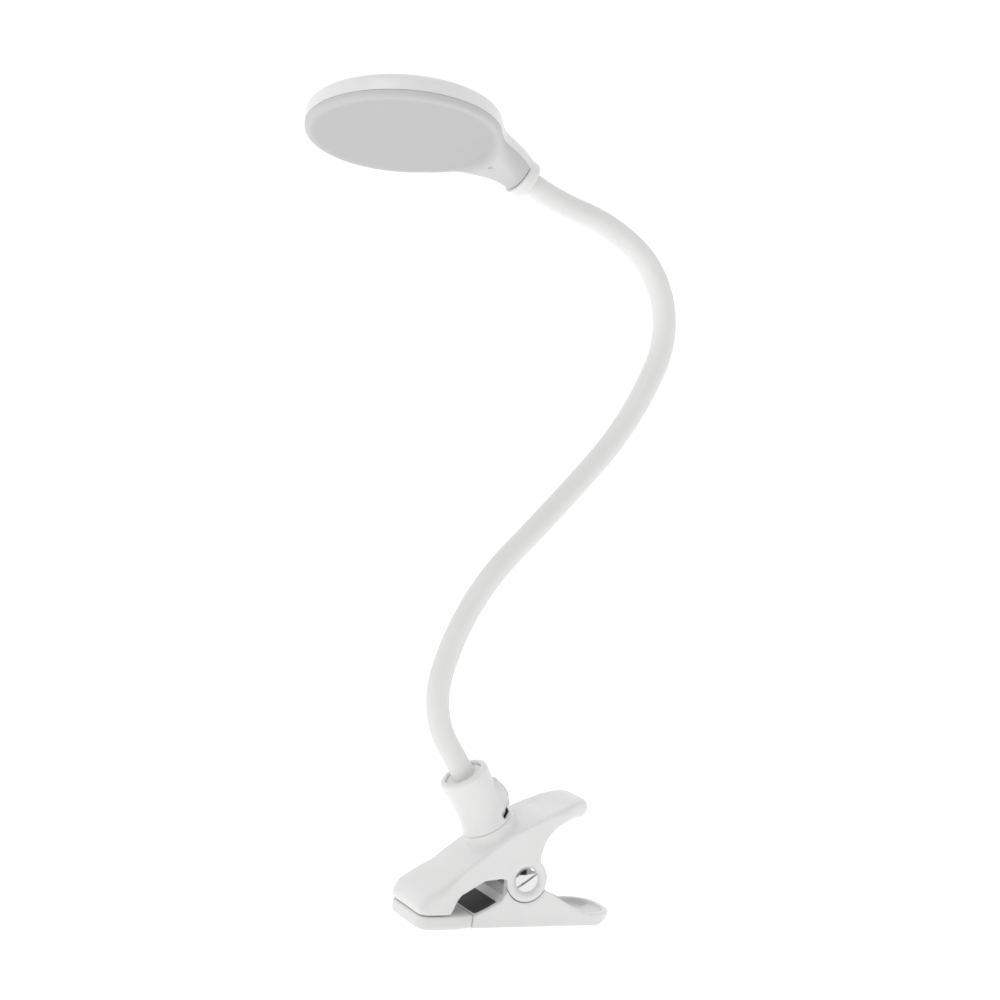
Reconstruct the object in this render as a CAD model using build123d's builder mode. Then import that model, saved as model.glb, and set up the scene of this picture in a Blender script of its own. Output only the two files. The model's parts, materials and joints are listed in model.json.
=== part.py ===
from build123d import *
from math import cos, radians, sin
import os

os.makedirs("parts", exist_ok=True)

# ---------------------------------------------------------------- driving sizes, mm and degrees
gap = 0.3             # between pieces that stand apart
run_fit = 0.05        # radial clearance of a running fit
wall = 2.0            # moulded wall

body_half = 15.0      # half width of the clip
ear_t = 2.5           # thickness of one ear
pivot_z = 20.5
boss_r = 9.6          # ear boss round the pivot
pin_r = 2.5
screw_head_r = 5.7
recess_r = 6.5
jaw_gap = 0.6         # between the closed jaws' nose pads
nose_z = 6.6          # underside of the upper nose
nose_x = -49.8        # front of both noses
nose_half = 17.5      # half width across the flared noses
cover_z = 36.0        # height of the small rear cover's middle
cover_screw_y = 11.1
foot_web = 2.2        # floor between the collar and the room below it
pad_top = nose_z - jaw_gap

collar_x = -14.9      # centre of the collar's foot
collar_z = 42.4
lean = 33.0           # the collar leans forward by this much
collar_h = 26.0
foot_r = 11.6
collar_bore = 8.3

neck_r = 5.0
core_r = 3.6
lead_r = 1.5
neck_start = 23.5     # the neck's free length starts here, up the collar's axis
neck_lengths = [16.0, 33.6, 60.0, 53.1, 49.9, 56.8, 29.5, 31.8]
neck_bends = [3.1, -48.3, -30.1, 2.9, 19.9, 74.6, 20.8, -13.6]

head_r = 40.2
cover_h = 7.9
diffuser_h = 3.1
shoulder = 3.9
skin = 1.6
ring_r = 8.25
ring_len = 5.0
tail_reach = 57.2     # from the disc's centre to the ring's centre
tail_drop = 7.45
head_twist = -19.7
head_droop = -21.0
head_slew = -4.6

button_r = 4.6
button_up = 9.0       # height of the button on the collar
button_travel = 0.8

# ---------------------------------------------------------------- frames that the pieces share
slope = Plane(
    origin=(collar_x, 0, collar_z),
    x_dir=(cos(radians(lean)), 0, sin(radians(lean))),
    z_dir=(-sin(radians(lean)), 0, cos(radians(lean))),
)


def on_slope(out, across, up):
    """A point in the collar's own frame: outwards to the rear, across, up its axis."""
    return slope.from_local_coords(Vector(out, across, up))


def chain():
    """Neck joints as (x, z, heading), each arc leaving along the one before."""
    start = on_slope(0, 0, neck_start)
    x = start.X
    z = start.Z
    heading = 90.0 + lean
    joints = [(x, z, heading)]
    for length, bend in zip(neck_lengths, neck_bends):
        mid = heading + bend / 2
        half = radians(abs(bend)) / 2
        chord = length
        if half > 0:
            chord = length * sin(half) / half
        x = x + chord * cos(radians(mid))
        z = z + chord * sin(radians(mid))
        heading = heading + bend
        joints.append((x, z, heading))
    return joints


neck = chain()


def neck_plane(k, along=0.0):
    """Section plane of the neck at joint k, moved along its tangent."""
    x, z, heading = neck[k]
    ux = cos(radians(heading))
    uz = sin(radians(heading))
    return Plane(
        origin=(x + along * ux, 0, z + along * uz),
        x_dir=(0, 1, 0),
        z_dir=(ux, 0, uz),
    )


def head_plane():
    """The head's own frame: x back towards the neck, z out of the cover."""
    x, z, heading = neck[-1]
    a = Vector(-cos(radians(heading)), 0, -sin(radians(heading)))
    n0 = Vector(sin(radians(heading)), 0, -cos(radians(heading)))
    across = Vector(0, 1, 0)
    st = sin(radians(head_twist))
    ct = cos(radians(head_twist))
    sd = sin(radians(head_droop))
    cd = cos(radians(head_droop))
    ss = sin(radians(head_slew))
    cs = cos(radians(head_slew))
    back = a * (cd * cs) + across * (ct * ss + st * sd * cs) + n0 * (st * ss - ct * sd * cs)
    up = a * sd - across * (st * cd) + n0 * (ct * cd)
    centre = Vector(x, 0, z) - back * tail_reach + up * tail_drop
    return Plane(origin=centre, x_dir=back, z_dir=up)


head = head_plane()
ring_axis = neck_plane(len(neck_lengths)).z_dir
ring_frame = Plane(
    origin=head.from_local_coords(Vector(tail_reach, 0, -tail_drop)),
    x_dir=head.y_dir - ring_axis * ring_axis.dot(head.y_dir),
    z_dir=ring_axis,
)


def save(build, label):
    build.part.label = label
    export_step(build.part, "parts/" + label + ".step")


# ---------------------------------------------------------------- lower jaw
def make_lower_jaw():
    tongue_z = 1.6
    floor_z = 2.2
    with BuildPart() as lower_jaw:
        with BuildSketch(Plane.XZ):
            with BuildLine():
                Polyline(
                    (-24.0, 0), (37.5, 0), (45.8, 3.4), (45.8, 5.2), (31.0, 5.2), (23.8, 8.2),
                    (9.0, 16.4), (-8.6, 16.4), (-11.3, 11.9), (-17.1, 8.5), (-24.0, 5.4), close=True,
                )
            make_face()
        extrude(amount=body_half, both=True)
        corners = lower_jaw.edges().filter_by(Axis.Z).filter_by_position(Axis.X, 44, 48)
        fillet(corners, radius=12)
        # open tray from above, behind the sloping wall of the hollow
        with BuildSketch(Plane.XY.offset(floor_z)):
            with Locations((16.6, 0)):
                Rectangle(53.2, 2 * (body_half - ear_t - gap))
            fillet(vertices().group_by(Axis.X)[-1], radius=10)
        extrude(amount=30, mode=Mode.SUBTRACT)
        # room for the upper jaw's ears
        with BuildSketch(Plane.XZ):
            with Locations((0, pivot_z)):
                Circle(boss_r + gap)
        extrude(amount=body_half, both=True, mode=Mode.SUBTRACT)
        # inner ears, down to the floor
        for side in (-1, 1):
            inner = body_half - ear_t - gap
            with BuildSketch(Plane.XZ.offset(-side * (inner - ear_t))):
                with Locations((0, pivot_z)):
                    Circle(boss_r - 0.6)
                with Locations((0, pivot_z / 2)):
                    Rectangle(2 * (boss_r - 0.6), pivot_z)
            extrude(amount=-side * ear_t)
        with BuildSketch(Plane.XZ):
            with Locations((0, pivot_z)):
                Circle(pin_r + run_fit)
        extrude(amount=body_half, both=True, mode=Mode.SUBTRACT)
        # tongue for the soft pad
        with BuildSketch(Plane.XY.offset(tongue_z)):
            with Locations(((nose_x - 19.7) / 2, 0)):
                Rectangle(-nose_x - 26.3, 24.0)
            fillet(vertices().group_by(Axis.X)[0], radius=5)
        extrude(amount=2.6)
        # the spring's rest and the tray's rib
        with BuildSketch(Plane.XY.offset(floor_z - 0.4)):
            with Locations((15.2, 0)):
                Rectangle(2.4, 2 * (body_half - ear_t))
            with Locations((31.0, 0)):
                Rectangle(1.6, 2 * (body_half - ear_t))
        extrude(amount=1.6)
        # seat of the lining pad
        with BuildSketch(Plane.XZ):
            with BuildLine():
                Polyline((-22.6, 7.5), (-22.6, 4.8), (-17.7, 7.0), (-12.8, 9.9), (-12.8, 12.5), close=True)
            make_face()
        extrude(amount=12.5, both=True, mode=Mode.SUBTRACT)
    save(lower_jaw, "lower_jaw")
    return lower_jaw


def make_lower_grip_pad():
    with BuildPart() as lower_grip_pad:
        with BuildSketch(Plane.XZ):
            with BuildLine():
                Polyline((-22.6, 4.8), (-17.7, 7.0), (-12.8, 9.9), (-12.8, 10.9), (-17.7, 8.1), (-22.6, 5.9),
                         close=True)
            make_face()
        extrude(amount=12.5, both=True)
    save(lower_grip_pad, "lower_grip_pad")


def nose_plan():
    """Plan of a nose: straight front, full width, back to the body's width."""
    Polyline(
        (nose_x, -nose_half), (-32.0, -nose_half), (-24.4, -body_half), (-24.4, body_half),
        (-32.0, nose_half), (nose_x, nose_half), close=True,
    )


def make_lower_jaw_pad(lower_jaw):
    with BuildPart() as lower_jaw_pad:
        with BuildSketch(Plane.XY):
            with BuildLine():
                nose_plan()
            make_face()
            fillet(vertices().filter_by_position(Axis.X, nose_x - 1, nose_x + 1), radius=6)
            fillet(vertices().filter_by_position(Axis.X, -33, -31), radius=6)
        extrude(amount=pad_top)
        fillet(lower_jaw_pad.faces().sort_by(Axis.Z)[0].edges(), radius=1.8)
        fillet(lower_jaw_pad.faces().sort_by(Axis.Z)[-1].edges(), radius=0.8)
        add(lower_jaw.part, mode=Mode.SUBTRACT)
    save(lower_jaw_pad, "lower_jaw_pad")


# ---------------------------------------------------------------- upper jaw
def make_upper_jaw():
    with BuildPart() as upper_jaw:
        # wedge and thumb paddle in side view
        with BuildSketch(Plane.XZ):
            with BuildLine():
                Polyline(
                    (nose_x, nose_z), (nose_x, 10.2), (-47.0, 14.4), (-39.3, 19.0), (-32.6, 23.2),
                    (-18.5, 33.8), (-9.0, 40.6), (4.0, 47.2), (21.6, 54.6), (27.4, 55.2), (30.4, 51.5),
                    (28.0, 46.6), (19.7, 46.4), (11.5, 43.0), (7.4, 38.0), (5.7, 32.0), (5.7, 22.0),
                    (0, pivot_z), (-8.0, 20.2), (-12.0, 21.2), (-20.0, 20.4), (-30.0, 14.4),
                    (-35.5, nose_z), close=True,
                )
            make_face()
            fillet(vertices().filter_by_position(Axis.X, nose_x - 0.1, -47.1), radius=2.5)
            fillet(vertices().filter_by_position(Axis.X, -47.05, -46.9), radius=6)
            fillet(vertices().filter_by_position(Axis.X, 21, 22), radius=12)
            fillet(vertices().filter_by_position(Axis.X, 27.2, 27.6), radius=3)
            fillet(vertices().filter_by_position(Axis.X, 30, 31), radius=2.5)
            fillet(vertices().filter_by_position(Axis.X, 27.9, 28.1), radius=3)
            fillet(vertices().filter_by_position(Axis.X, 11.4, 11.6), radius=12)
            fillet(vertices().filter_by_position(Axis.X, 7.3, 7.5), radius=12)
        extrude(amount=body_half, both=True)
        with BuildSketch(Plane.XZ):
            with BuildLine():
                Polyline(
                    (nose_x, nose_z), (nose_x, 10.2), (-47.0, 14.4), (-39.3, 19.0), (-31.0, 24.4),
                    (-31.0, 13.0), (-35.5, nose_z), close=True,
                )
            make_face()
        extrude(amount=nose_half, both=True)
        # plan shape of nose, body and paddle
        with BuildSketch(Plane.XY):
            with BuildLine():
                Polyline(
                    (nose_x, -nose_half), (-37.5, -nose_half), (-31.0, -body_half), (17.0, -body_half),
                    (30.4, -9.0), (30.4, 9.0), (17.0, body_half), (-31.0, body_half), (-37.5, nose_half),
                    (nose_x, nose_half), close=True,
                )
            make_face()
            fillet(vertices().filter_by_position(Axis.X, nose_x - 0.5, nose_x + 0.5), radius=4.5)
            fillet(vertices().filter_by_position(Axis.X, 30, 31), radius=7)
            fillet(vertices().filter_by_position(Axis.X, 16, 18), radius=9)
        extrude(amount=80, mode=Mode.INTERSECT)
        # boss that carries the collar
        with BuildSketch(slope):
            Circle(foot_r + 0.2)
        extrude(amount=-13.0, taper=-9)
        # ears: round bosses outside, room for the lower ears inside
        with BuildSketch(Plane.XZ):
            with Locations((0, pivot_z)):
                Circle(boss_r)
        extrude(amount=body_half, both=True)
        inner = body_half - ear_t
        with BuildSketch(Plane.XZ):
            with Locations((0, pivot_z)):
                Circle(boss_r + gap)
            with Locations((0, pivot_z - boss_r)):
                Rectangle(2 * (boss_r + gap), 2 * boss_r)
        extrude(amount=inner, both=True, mode=Mode.SUBTRACT)
        for side in (-1, 1):
            with BuildSketch(Plane.XZ.offset(-side * body_half)):
                with Locations((0, pivot_z)):
                    Circle(recess_r)
            extrude(amount=side * 1.2, mode=Mode.SUBTRACT)
        with BuildSketch(Plane.XZ):
            with Locations((0, pivot_z)):
                Circle(pin_r + run_fit)
        extrude(amount=body_half, both=True, mode=Mode.SUBTRACT)
        # dished thumb rest
        with BuildSketch(Plane.XZ):
            with Locations((-1.9, 87.2)):
                Circle(40.0)
        extrude(amount=9.5, both=True, mode=Mode.SUBTRACT)
        # battery space, open to the rear and up into the collar
        with BuildSketch(Plane.XZ):
            with BuildLine():
                Polyline(
                    (-10.5, 28.05), (4.0, 37.47), (4.0, 42.6), (-2.0, 41.4), (-13.6, 32.83),
                    close=True,
                )
            make_face()
        extrude(amount=9.6, both=True, mode=Mode.SUBTRACT)
        with BuildSketch(Plane.XZ):
            with BuildLine():
                Polyline((3.6, 31.5), (12.0, 31.5), (12.0, 40.5), (3.6, 40.5), close=True)
            make_face()
        extrude(amount=12.5, both=True, mode=Mode.SUBTRACT)
        with BuildSketch(Plane.YZ.offset(-1.0)):
            with Locations((-cover_screw_y, cover_z), (cover_screw_y, cover_z)):
                Circle(1.0)
        extrude(amount=5.0, mode=Mode.SUBTRACT)
        with BuildSketch(slope):
            Circle(7.0)
        extrude(amount=10.0, both=True, mode=Mode.SUBTRACT)
        with BuildSketch(slope.offset(-foot_web)):
            Circle(10.2)
        extrude(amount=-6.8, mode=Mode.SUBTRACT)
        with BuildSketch(slope):
            with Locations((-6.8, 4.6), (-6.8, -4.6)):
                Circle(0.8)
        extrude(amount=-foot_web, mode=Mode.SUBTRACT)
        # seats of the two pads
        with BuildSketch(Plane.XZ):
            with BuildLine():
                Polyline((-21.0, 19.0), (-29.2, 14.0), (-33.6, 8.0), (-34.6, 9.5), (-30.0, 15.6), (-21.0, 21.1),
                         close=True)
            make_face()
        extrude(amount=12.5, both=True, mode=Mode.SUBTRACT)
        with BuildSketch(Plane.XY.offset(nose_z)):
            with Locations((nose_x + 7.4, 0)):
                Rectangle(10.8, 27.0)
            fillet(vertices(), radius=4)
        extrude(amount=1.5, mode=Mode.SUBTRACT)
    save(upper_jaw, "upper_jaw")


def make_upper_pads():
    with BuildPart() as upper_grip_pad:
        with BuildSketch(Plane.XZ):
            with BuildLine():
                Polyline((-21.0, 21.1), (-30.0, 15.6), (-34.6, 9.5), (-33.9, 8.5), (-29.4, 14.4), (-21.0, 19.6),
                         close=True)
            make_face()
        extrude(amount=12.5, both=True)
    save(upper_grip_pad, "upper_grip_pad")
    with BuildPart() as upper_jaw_pad:
        with BuildSketch(Plane.XY.offset(nose_z - jaw_gap / 2)):
            with Locations((nose_x + 7.4, 0)):
                Rectangle(10.8, 27.0)
            fillet(vertices(), radius=4)
        extrude(amount=1.5 + jaw_gap / 2)
    save(upper_jaw_pad, "upper_jaw_pad")


def make_jaw_cover():
    with BuildPart() as jaw_cover:
        with BuildSketch(Plane.YZ.offset(3.6)):
            with Locations((0, cover_z)):
                Rectangle(25.0, 9.0)
        extrude(amount=1.8)
        with BuildSketch(Plane.YZ.offset(3.6)):
            with Locations((-cover_screw_y, cover_z), (cover_screw_y, cover_z)):
                Circle(1.0)
        extrude(amount=1.8, mode=Mode.SUBTRACT)
    save(jaw_cover, "jaw_cover")
    with BuildPart() as cover_screws:
        for side in (-cover_screw_y, cover_screw_y):
            with BuildSketch(Plane.YZ.offset(5.4)):
                with Locations((side, cover_z)):
                    Circle(1.4)
            extrude(amount=1.0)
            with BuildSketch(Plane.YZ.offset(-1.0)):
                with Locations((side, cover_z)):
                    Circle(1.0)
            extrude(amount=6.4)
            with BuildSketch(Plane.YZ.offset(5.9)):
                with Locations((side, cover_z)):
                    Rectangle(2.2, 0.5)
                    Rectangle(0.5, 2.2)
            extrude(amount=1.0, mode=Mode.SUBTRACT)
    save(cover_screws, "cover_screws")


# ---------------------------------------------------------------- pivot
def make_pivot():
    seat = body_half - 1.2
    with BuildPart() as pivot_screw:
        with BuildSketch(Plane.XZ.offset(seat)):
            with Locations((0, pivot_z)):
                Circle(screw_head_r)
        extrude(amount=2.4)
        fillet(pivot_screw.faces().sort_by(Axis.Y)[0].edges(), radius=1.5)
        with BuildSketch(Plane.XZ.offset(-seat)):
            with Locations((0, pivot_z)):
                Circle(pin_r)
        extrude(amount=2 * seat)
        with BuildSketch(Plane.XZ.offset(seat + 1.1)):
            with Locations(Location((0, pivot_z), 35)):
                Rectangle(2 * screw_head_r, 1.3)
        extrude(amount=3.0, mode=Mode.SUBTRACT)
    save(pivot_screw, "pivot_screw")
    with BuildPart() as pivot_nut:
        with BuildSketch(Plane.XZ.offset(-seat - 2.4)):
            with Locations((0, pivot_z)):
                Circle(screw_head_r)
        extrude(amount=2.4)
        fillet(pivot_nut.faces().sort_by(Axis.Y)[-1].edges(), radius=1.5)
        with BuildSketch(Plane.XZ.offset(-seat - 2.4)):
            with Locations((0, pivot_z)):
                RegularPolygon(2.0, 6)
        extrude(amount=1.6, mode=Mode.SUBTRACT)
    save(pivot_nut, "pivot_nut")


def make_torsion_spring():
    coil_r = 6.2
    wire_r = 0.75
    turns = 4 + 140 / 360
    rise = radians(10)
    pitch = 2.6
    coil = Helix(pitch=pitch, height=pitch * turns, radius=coil_r)
    coil = coil.moved(Location((0, 0, -pitch * turns / 2)))
    turned = Plane(origin=(0, 0, pivot_z), x_dir=(-sin(rise), 0, cos(rise)), z_dir=(0, -1, 0))
    coil = turned.from_local_coords(coil)
    first = coil @ 0
    second = coil @ 1
    leg_up = Line(first, first - (coil % 0) * 9.5)
    leg_down = Line(second, second + (coil % 1) * 20.0)
    with BuildPart() as torsion_spring:
        with BuildSketch(Plane(origin=first, z_dir=coil % 0)):
            Circle(wire_r)
        sweep(path=coil, is_frenet=True)
        with BuildSketch(Plane(origin=leg_up @ 1, z_dir=coil % 0)):
            Circle(wire_r)
        extrude(amount=9.5)
        with BuildSketch(Plane(origin=second, z_dir=coil % 1)):
            Circle(wire_r)
        extrude(amount=20.0)
    save(torsion_spring, "torsion_spring")


# ---------------------------------------------------------------- collar
def make_neck_socket():
    with BuildPart() as neck_socket:
        with BuildSketch(Plane(origin=slope.origin, x_dir=slope.x_dir, z_dir=(0, -1, 0))):
            with BuildLine():
                foot = Line((0, 0), (foot_r, 0))
                flank = Spline(
                    (foot_r, 0), (10.3, 5.5), (10.0, 11.0), (10.5, 18.0), (10.9, collar_h - 1.4),
                    tangents=[(-0.3, 1), (0, 1)],
                )
                lip = ThreePointArc((10.9, collar_h - 1.4), (10.4, collar_h - 0.3), (9.5, collar_h))
                Polyline((9.5, collar_h), (0, collar_h), (0, 0))
            make_face()
        revolve(axis=Axis(slope.origin, slope.z_dir))
        # button housing at the rear
        housing = Plane(origin=on_slope(4.0, 0, button_up), x_dir=(0, 1, 0), z_dir=slope.x_dir)
        with BuildSketch(housing):
            Ellipse(6.6, 8.6)
        extrude(amount=8.4, taper=8)
        fillet(neck_socket.faces().sort_by(Axis(slope.origin, slope.x_dir))[-1].edges(), radius=1.4)
        # mouth, web that carries the gooseneck, room below it
        with BuildSketch(slope.offset(19.5)):
            Circle(collar_bore)
        extrude(amount=20, mode=Mode.SUBTRACT)
        with BuildSketch(slope.offset(-1)):
            Circle(collar_bore)
        extrude(amount=18, mode=Mode.SUBTRACT)
        with BuildSketch(slope.offset(10)):
            Circle(4.3)
        extrude(amount=12, mode=Mode.SUBTRACT)
        # button bore with a step for its flange
        with BuildSketch(housing):
            Circle(button_r + 0.15)
        extrude(amount=12, mode=Mode.SUBTRACT)
        with BuildSketch(housing.offset(-2)):
            Circle(button_r + 1.0)
        extrude(amount=8.0, mode=Mode.SUBTRACT)
        # charging port
        port = port_frame()
        with BuildSketch(port.offset(2.0)):
            SlotOverall(7.4, 2.9)
        extrude(amount=12, mode=Mode.SUBTRACT)
        # pillars for the screws from below
        with BuildSketch(slope):
            with Locations((-6.8, 4.6), (-6.8, -4.6)):
                Circle(1.9)
        extrude(amount=8)
        with BuildSketch(slope):
            with Locations((-6.8, 4.6), (-6.8, -4.6)):
                Circle(0.8)
        extrude(amount=6.5, mode=Mode.SUBTRACT)
    save(neck_socket, "neck_socket")


def port_frame():
    """The charging port points to the rear and to the near side, low on the collar."""
    out = slope.x_dir * cos(radians(45)) - Vector(0, 1, 0) * sin(radians(45))
    return Plane(origin=on_slope(0, 0, 2.35), x_dir=out.cross(slope.z_dir), z_dir=out)


def make_collar_inside():
    port = port_frame()
    with BuildPart() as charging_socket:
        with BuildSketch(port.offset(3.6)):
            SlotOverall(7.4, 2.9)
        extrude(amount=6.6)
        with BuildSketch(port.offset(4.6)):
            SlotOverall(6.6, 2.1)
        extrude(amount=8, mode=Mode.SUBTRACT)
        with BuildSketch(port.offset(4.2)):
            Rectangle(4.6, 0.6)
        extrude(amount=5.2)
    save(charging_socket, "charging_socket")
    with BuildPart() as neck_bush:
        with BuildSketch(slope.offset(21.3)):
            Circle(collar_bore)
            Circle(neck_r, mode=Mode.SUBTRACT)
        extrude(amount=3.4)
        fillet(neck_bush.faces().sort_by(Axis(slope.origin, slope.z_dir))[-1].edges()[0], radius=0.6)
    save(neck_bush, "neck_bush")
    with BuildPart() as neck_base_ferrule:
        with BuildSketch(slope.offset(19.5)):
            Circle(6.4)
            Circle(core_r, mode=Mode.SUBTRACT)
        extrude(amount=1.5)
        with BuildSketch(slope.offset(12.0)):
            Circle(4.3)
            Circle(core_r, mode=Mode.SUBTRACT)
        extrude(amount=8.0)
    save(neck_base_ferrule, "neck_base_ferrule")
    with BuildPart() as neck_lock_nut:
        with BuildSketch(slope.offset(14.2)):
            RegularPolygon(5.8, 6)
            Circle(4.3, mode=Mode.SUBTRACT)
        extrude(amount=2.8)
    save(neck_lock_nut, "neck_lock_nut")
    board = Plane(origin=on_slope(-4.6, 0, 0), x_dir=(0, 1, 0), z_dir=slope.x_dir)
    with BuildPart() as control_board:
        with BuildSketch(board):
            with Locations((0, 6.2)):
                Rectangle(9.6, 11.0)
        extrude(amount=1.0)
    save(control_board, "control_board")
    with BuildPart() as tact_switch:
        with BuildSketch(board.offset(1.0)):
            with Locations((0, button_up)):
                Rectangle(6.0, 6.0)
        extrude(amount=3.4)
        with BuildSketch(board.offset(1.0)):
            with Locations((0, button_up)):
                Circle(1.7)
        extrude(amount=4.3)
    save(tact_switch, "tact_switch")
    with BuildPart() as switch_button:
        with BuildSketch(board.offset(5.3 + button_travel + 0.1)):
            with Locations((0, button_up)):
                Circle(1.8)
        extrude(amount=6.0)
        base = 4.6 + 5.6 + 3.0
        with BuildSketch(board.offset(base - 0.8 - 1.2)):
            with Locations((0, button_up)):
                Circle(button_r + 0.45)
        extrude(amount=1.2)
        with BuildSketch(board.offset(base - 0.9)):
            with Locations((0, button_up)):
                Circle(button_r)
        extrude(amount=5.6)
        top = switch_button.faces().sort_by(Axis(slope.origin, slope.x_dir))[-1]
        fillet(top.edges(), radius=1.2)
        dish = on_slope(13.4 + 9.3, 0, button_up)
        with Locations(dish):
            Sphere(10.0, mode=Mode.SUBTRACT)
    save(switch_button, "switch_button")
    with BuildPart() as socket_screws:
        with BuildSketch(slope.offset(-foot_web - 1.2)):
            with Locations((-6.8, 4.6), (-6.8, -4.6)):
                Circle(1.7)
        extrude(amount=1.2)
        with BuildSketch(slope.offset(-foot_web - 0.2)):
            with Locations((-6.8, 4.6), (-6.8, -4.6)):
                Circle(0.8)
        extrude(amount=8.0)
    save(socket_screws, "socket_screws")


def make_battery_cell():
    with BuildPart() as battery_cell:
        with BuildSketch(Plane(origin=(-4.6, 0, 35.1), x_dir=(0, 1, 0), z_dir=slope.x_dir)):
            RectangleRounded(18.6, 5.4, 1.2)
        extrude(amount=8.0, both=True)
    save(battery_cell, "battery_cell")


# ---------------------------------------------------------------- neck
def arc_of(k):
    """The centreline of length k, between its two joints."""
    x0, z0, h0 = neck[k]
    x1, z1, h1 = neck[k + 1]
    if abs(h1 - h0) < 0.01:
        return Line((x0, 0, z0), (x1, 0, z1))
    return TangentArc((x0, 0, z0), (x1, 0, z1), tangent=(cos(radians(h0)), 0, sin(radians(h0))))


def make_neck_length(k):
    """One length of sleeve, core and lead: cupped at its start, round at its end."""
    last = len(neck_lengths) - 1
    path = arc_of(k)
    start = neck_plane(k)
    end = neck_plane(k + 1)
    x0, z0, _ = neck[k]
    x1, z1, _ = neck[k + 1]
    back = 3.6
    with BuildPart() as sleeve:
        with BuildSketch(start):
            Circle(neck_r)
        sweep(path=path)
        if k < last:
            with Locations((x1, 0, z1)):
                Sphere(neck_r)
        if k == 0:
            with BuildSketch(neck_plane(0, -2.4)):
                Circle(neck_r)
            extrude(amount=2.4)
        with BuildSketch(start):
            Circle(core_r)
        sweep(path=path, mode=Mode.SUBTRACT)
        with BuildSketch(neck_plane(k, -8)):
            Circle(core_r)
        extrude(amount=8, mode=Mode.SUBTRACT)
        with BuildSketch(end):
            Circle(core_r)
        extrude(amount=8, mode=Mode.SUBTRACT)
        if k > 0:
            with Locations((x0, 0, z0)):
                Sphere(neck_r + gap, mode=Mode.SUBTRACT)
    save(sleeve, "neck_sleeve_" + str(k + 1))
    with BuildPart() as core:
        with BuildSketch(start):
            Circle(core_r)
        sweep(path=path)
        with BuildSketch(end):
            Circle(core_r)
        extrude(amount=3.0 if k < last else 9.0)
        if k == 0:
            with BuildSketch(neck_plane(0, -10.5)):
                Circle(core_r)
            extrude(amount=10.5)
        with BuildSketch(start):
            Circle(lead_r)
        sweep(path=path, mode=Mode.SUBTRACT)
        with BuildSketch(neck_plane(k, -12)):
            Circle(lead_r)
        extrude(amount=12, mode=Mode.SUBTRACT)
        with BuildSketch(end):
            Circle(lead_r)
        extrude(amount=10, mode=Mode.SUBTRACT)
        if k > 0:
            with Locations((x0, 0, z0)):
                Sphere(neck_r + gap, mode=Mode.SUBTRACT)
    save(core, "neck_core_" + str(k + 1))
    with BuildPart() as lead:
        with BuildSketch(start):
            Circle(lead_r)
        sweep(path=path)
        with BuildSketch(end):
            Circle(lead_r)
        extrude(amount=4.2 if k < last else 9.4)
        if k == 0:
            with BuildSketch(neck_plane(0, -11.0)):
                Circle(lead_r)
            extrude(amount=11.0)
        if k > 0:
            with Locations((x0, 0, z0)):
                Sphere(neck_r + gap, mode=Mode.SUBTRACT)
    save(lead, "neck_lead_" + str(k + 1))


# ---------------------------------------------------------------- head
def tail_solid(grow):
    """The spoon's handle between disc and ring, all round smaller by -grow."""
    near = Plane(origin=head.from_local_coords(Vector(30.0, 0, 2.4)), x_dir=head.y_dir, z_dir=head.x_dir)
    with BuildPart() as tail:
        with BuildSketch(near):
            RectangleRounded(40.0 + 2 * grow, 9.0 + 2 * grow, 4.0 + grow)
        with BuildSketch(Plane(origin=head.from_local_coords(Vector(44.0, 0, -1.6)), x_dir=head.y_dir,
                               z_dir=head.x_dir)):
            RectangleRounded(19.5 + 2 * grow, 12.0 + 2 * grow, 5.2 + grow)
        end_half = ring_r - 0.4 + 1.4 * grow
        with BuildSketch(ring_frame.offset(ring_len / 2 - 1.0)):
            RectangleRounded(2 * end_half, 2 * end_half, end_half - 0.05)
        loft()
    return tail.part


def seam_cutter():
    """Everything below the seam: the disc's plane, then down along the tail to the ring."""
    with BuildPart() as below:
        with BuildSketch(Plane(origin=head.origin, x_dir=head.x_dir, z_dir=-head.y_dir)):
            with BuildLine():
                Polyline((-60, 0), (34, 0), (66.0, -9.92), (66.0, -60), (-60, -60), close=True)
            make_face()
        extrude(amount=60, both=True)
    return below.part


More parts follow.
